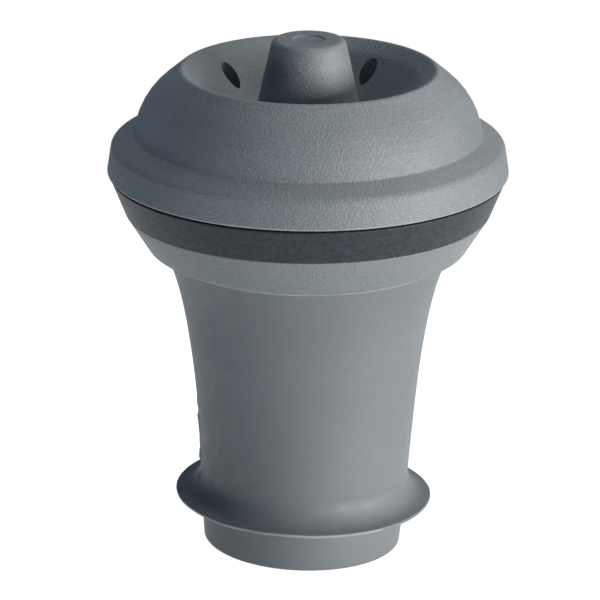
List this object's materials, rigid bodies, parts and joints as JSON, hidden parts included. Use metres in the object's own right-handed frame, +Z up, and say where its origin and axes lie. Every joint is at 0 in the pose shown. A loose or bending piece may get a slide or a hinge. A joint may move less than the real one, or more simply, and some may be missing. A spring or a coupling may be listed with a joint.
{
  "type": "vacuum bottle stopper",
  "caption": "Rubber vacuum bottle stopper: flared stem with sealing skirt, dark ring, domed head with vents, and a tilting release knob over a slit valve.",
  "frame": {"origin": "centre of the plug's bottom face, on the stopper's axis", "axes": "+Z up along the stopper's axis towards the knob; -Y is the front; the valve's slit runs along Y"},
  "size_m": [0.0356, 0.0356, 0.0468],
  "materials": {
    "grey_rubber": "satin with a fine pebble grain on the head",
    "valve_rubber": "satin",
    "dark_plastic": "fine grain"
  },
  "bodies": {
    "stopper": {"stem_body": "grey_rubber", "head_cap": "grey_rubber", "band_ring": "dark_plastic", "valve_disc": "valve_rubber"},
    "web": {"knob_web": "grey_rubber"},
    "knob": {"release_knob": "grey_rubber"},
    "lip_left": {"valve_lip_left": "valve_rubber"},
    "lip_right": {"valve_lip_right": "valve_rubber"}
  },
  "joints": [
    {"name": "knob_press", "type": "slide", "parent": "stopper", "child": "web", "axis": [0, 0, -1], "range_m": [0, 0.0018], "stiffness_N_per_m": 1000},
    {"name": "knob_tilt", "type": "hinge", "parent": "web", "child": "knob", "pos_m": [0, 0, 0.0386], "axis": [0, 1, 0], "range_deg": [-12, 12], "stiffness_Nm_per_rad": 0.02},
    {"name": "lip_left_swing", "type": "hinge", "parent": "stopper", "child": "lip_left", "pos_m": [-0.005, 0, 0.0307], "axis": [0, 1, 0], "range_deg": [0, 20]},
    {"name": "lip_right_swing", "type": "hinge", "parent": "stopper", "child": "lip_right", "pos_m": [0.005, 0, 0.0307], "axis": [0, -1, 0], "range_deg": [0, 20]}
  ],
  "couplings": [
    {"joint": "lip_left_swing", "follows": "knob_press", "rad_per_m": 190},
    {"joint": "lip_right_swing", "follows": "knob_press", "rad_per_m": 190}
  ]
}
